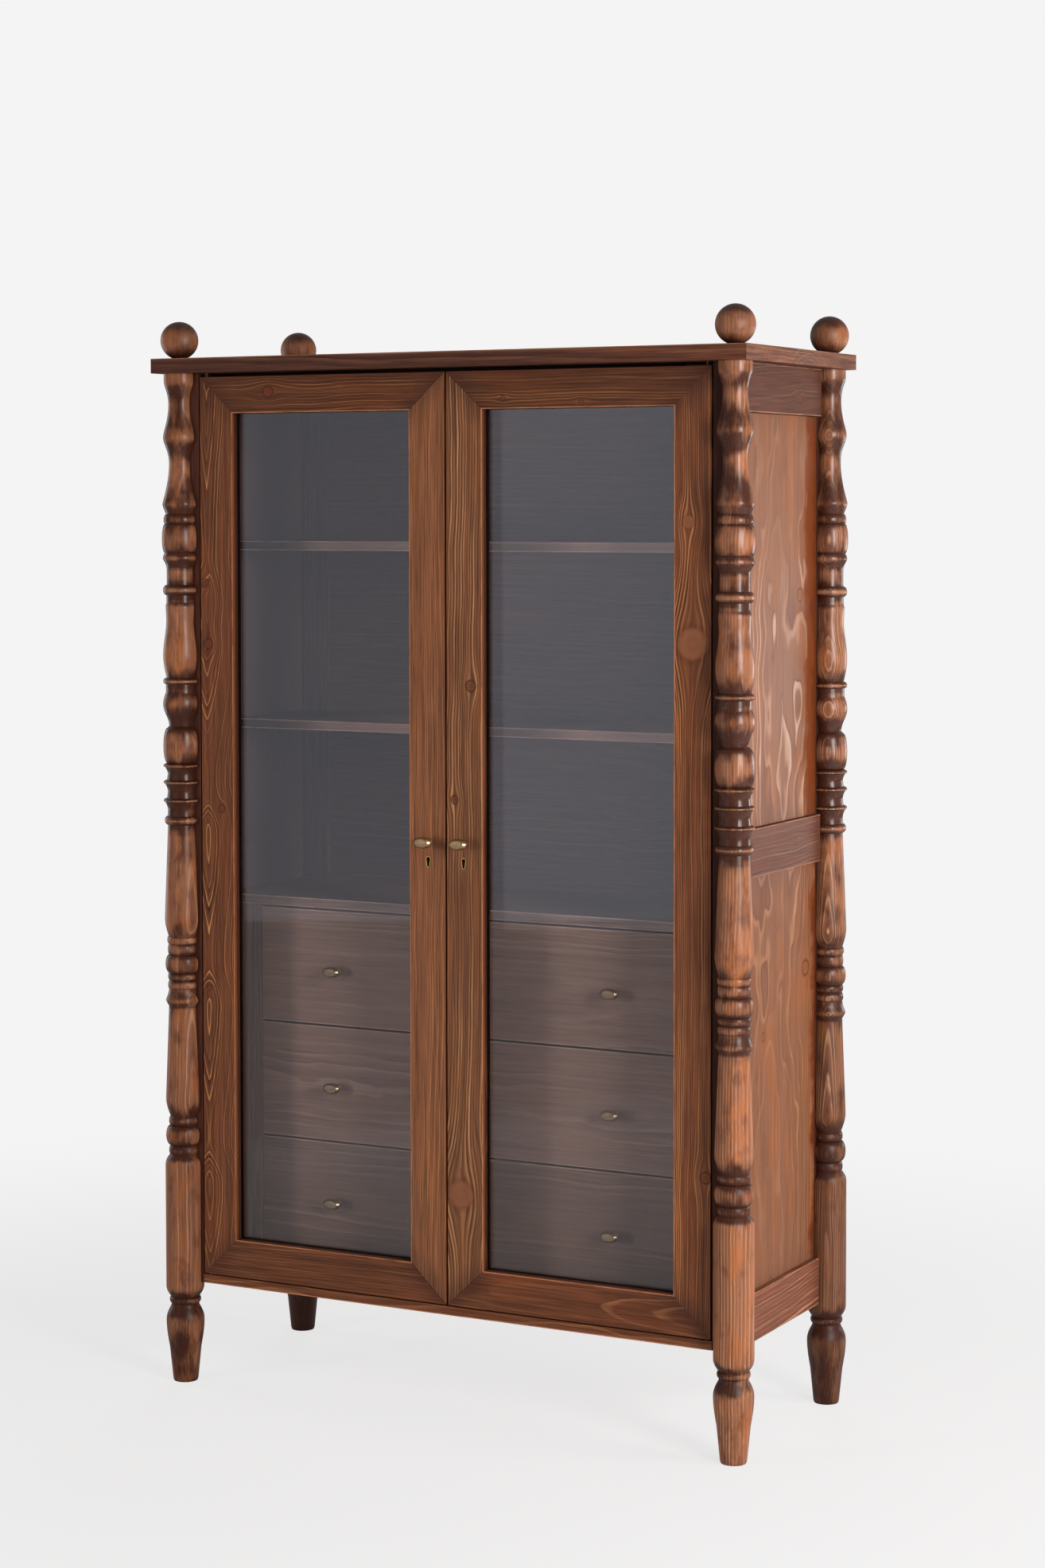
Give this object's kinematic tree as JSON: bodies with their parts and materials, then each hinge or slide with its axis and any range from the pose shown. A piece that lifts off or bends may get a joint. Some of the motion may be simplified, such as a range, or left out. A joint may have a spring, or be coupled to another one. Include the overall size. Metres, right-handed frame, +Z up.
{
  "type": "spindle hutch",
  "caption": "Tall wooden hutch with full-height turned corner posts, ball finials, glazed framed doors on pivot pins, housed shelves and a stack of drawers behind the doors.",
  "frame": {"origin": "on the floor, under the middle of the top board", "axes": "+X to the right as seen from the front, -Y to the front where the doors are, +Z up"},
  "size_m": [1.218, 0.495, 2.007],
  "materials": {
    "turned_wood": "dark glazed stain under satin lacquer",
    "stained_wood": "brushed grain, mid brown stain, satin lacquer",
    "panel_wood": "mid brown stain, satin lacquer",
    "inner_wood": "mid brown stain, low sheen",
    "brass": "aged, softly polished",
    "clear_glass": "clear"
  },
  "bodies": {
    "cabinet": {"turned_post_front_left": "turned_wood", "turned_post_rear_left": "turned_wood", "turned_post_front_right": "turned_wood", "turned_post_rear_right": "turned_wood", "finial_ball_front_left": "turned_wood", "finial_ball_rear_left": "turned_wood", "finial_ball_front_right": "turned_wood", "finial_ball_rear_right": "turned_wood", "top_board": "stained_wood", "bottom_board": "stained_wood", "corner_stile_front_left": "stained_wood", "corner_stile_rear_left": "stained_wood", "corner_stile_front_right": "stained_wood", "corner_stile_rear_right": "stained_wood", "side_rail_bottom_left": "panel_wood", "side_rail_middle_left": "panel_wood", "side_rail_top_left": "panel_wood", "side_rail_bottom_right": "panel_wood", "side_rail_middle_right": "panel_wood", "side_rail_top_right": "panel_wood", "side_panel_lower_left": "panel_wood", "side_panel_upper_left": "panel_wood", "side_panel_lower_right": "panel_wood", "side_panel_upper_right": "panel_wood", "back_stile_left": "inner_wood", "back_stile_right": "inner_wood", "back_panel": "inner_wood", "shelf_upper": "inner_wood", "shelf_lower": "inner_wood", "door_stop_rail": "inner_wood", "drawer_unit_top": "inner_wood", "drawer_guide_left": "inner_wood", "drawer_guide_right": "inner_wood", "plinth_rail": "inner_wood"},
    "door_left": {"door_left_hanging_stile": "stained_wood", "door_left_meeting_stile": "stained_wood", "door_left_top_rail": "stained_wood", "door_left_bottom_rail": "stained_wood", "door_left_glass": "clear_glass", "door_left_knob": "brass", "door_left_escutcheon": "brass"},
    "door_right": {"door_right_hanging_stile": "stained_wood", "door_right_meeting_stile": "stained_wood", "door_right_top_rail": "stained_wood", "door_right_bottom_rail": "stained_wood", "door_right_glass": "clear_glass", "door_right_knob": "brass", "door_right_escutcheon": "brass"},
    "drawer_top": {"drawer_top_front": "inner_wood", "drawer_top_box": "inner_wood", "drawer_top_knob_left": "brass", "drawer_top_knob_right": "brass"},
    "drawer_middle": {"drawer_middle_front": "inner_wood", "drawer_middle_box": "inner_wood", "drawer_middle_knob_left": "brass", "drawer_middle_knob_right": "brass"},
    "drawer_bottom": {"drawer_bottom_front": "inner_wood", "drawer_bottom_box": "inner_wood", "drawer_bottom_knob_left": "brass", "drawer_bottom_knob_right": "brass"}
  },
  "joints": [
    {"name": "door_left_hinge", "type": "hinge", "parent": "cabinet", "child": "door_left", "pos_m": [-0.516, -0.1995, 0.21], "axis": [0, 0, -1], "range_deg": [0, 110]},
    {"name": "door_right_hinge", "type": "hinge", "parent": "cabinet", "child": "door_right", "pos_m": [0.516, -0.1995, 0.21], "axis": [0, 0, 1], "range_deg": [0, 110]},
    {"name": "drawer_top_slide", "type": "slide", "parent": "cabinet", "child": "drawer_top", "axis": [0, -1, 0], "range_m": [0, 0.2]},
    {"name": "drawer_middle_slide", "type": "slide", "parent": "cabinet", "child": "drawer_middle", "axis": [0, -1, 0], "range_m": [0, 0.2]},
    {"name": "drawer_bottom_slide", "type": "slide", "parent": "cabinet", "child": "drawer_bottom", "axis": [0, -1, 0], "range_m": [0, 0.2]}
  ],
  "couplings": [
    {"joint": "door_right_hinge", "follows": "door_left_hinge", "ratio": 1},
    {"joint": "drawer_top_slide", "follows": "door_left_hinge", "m_per_rad": 0.10416},
    {"joint": "drawer_middle_slide", "follows": "door_left_hinge", "m_per_rad": 0.10416},
    {"joint": "drawer_bottom_slide", "follows": "door_left_hinge", "m_per_rad": 0.10416}
  ]
}
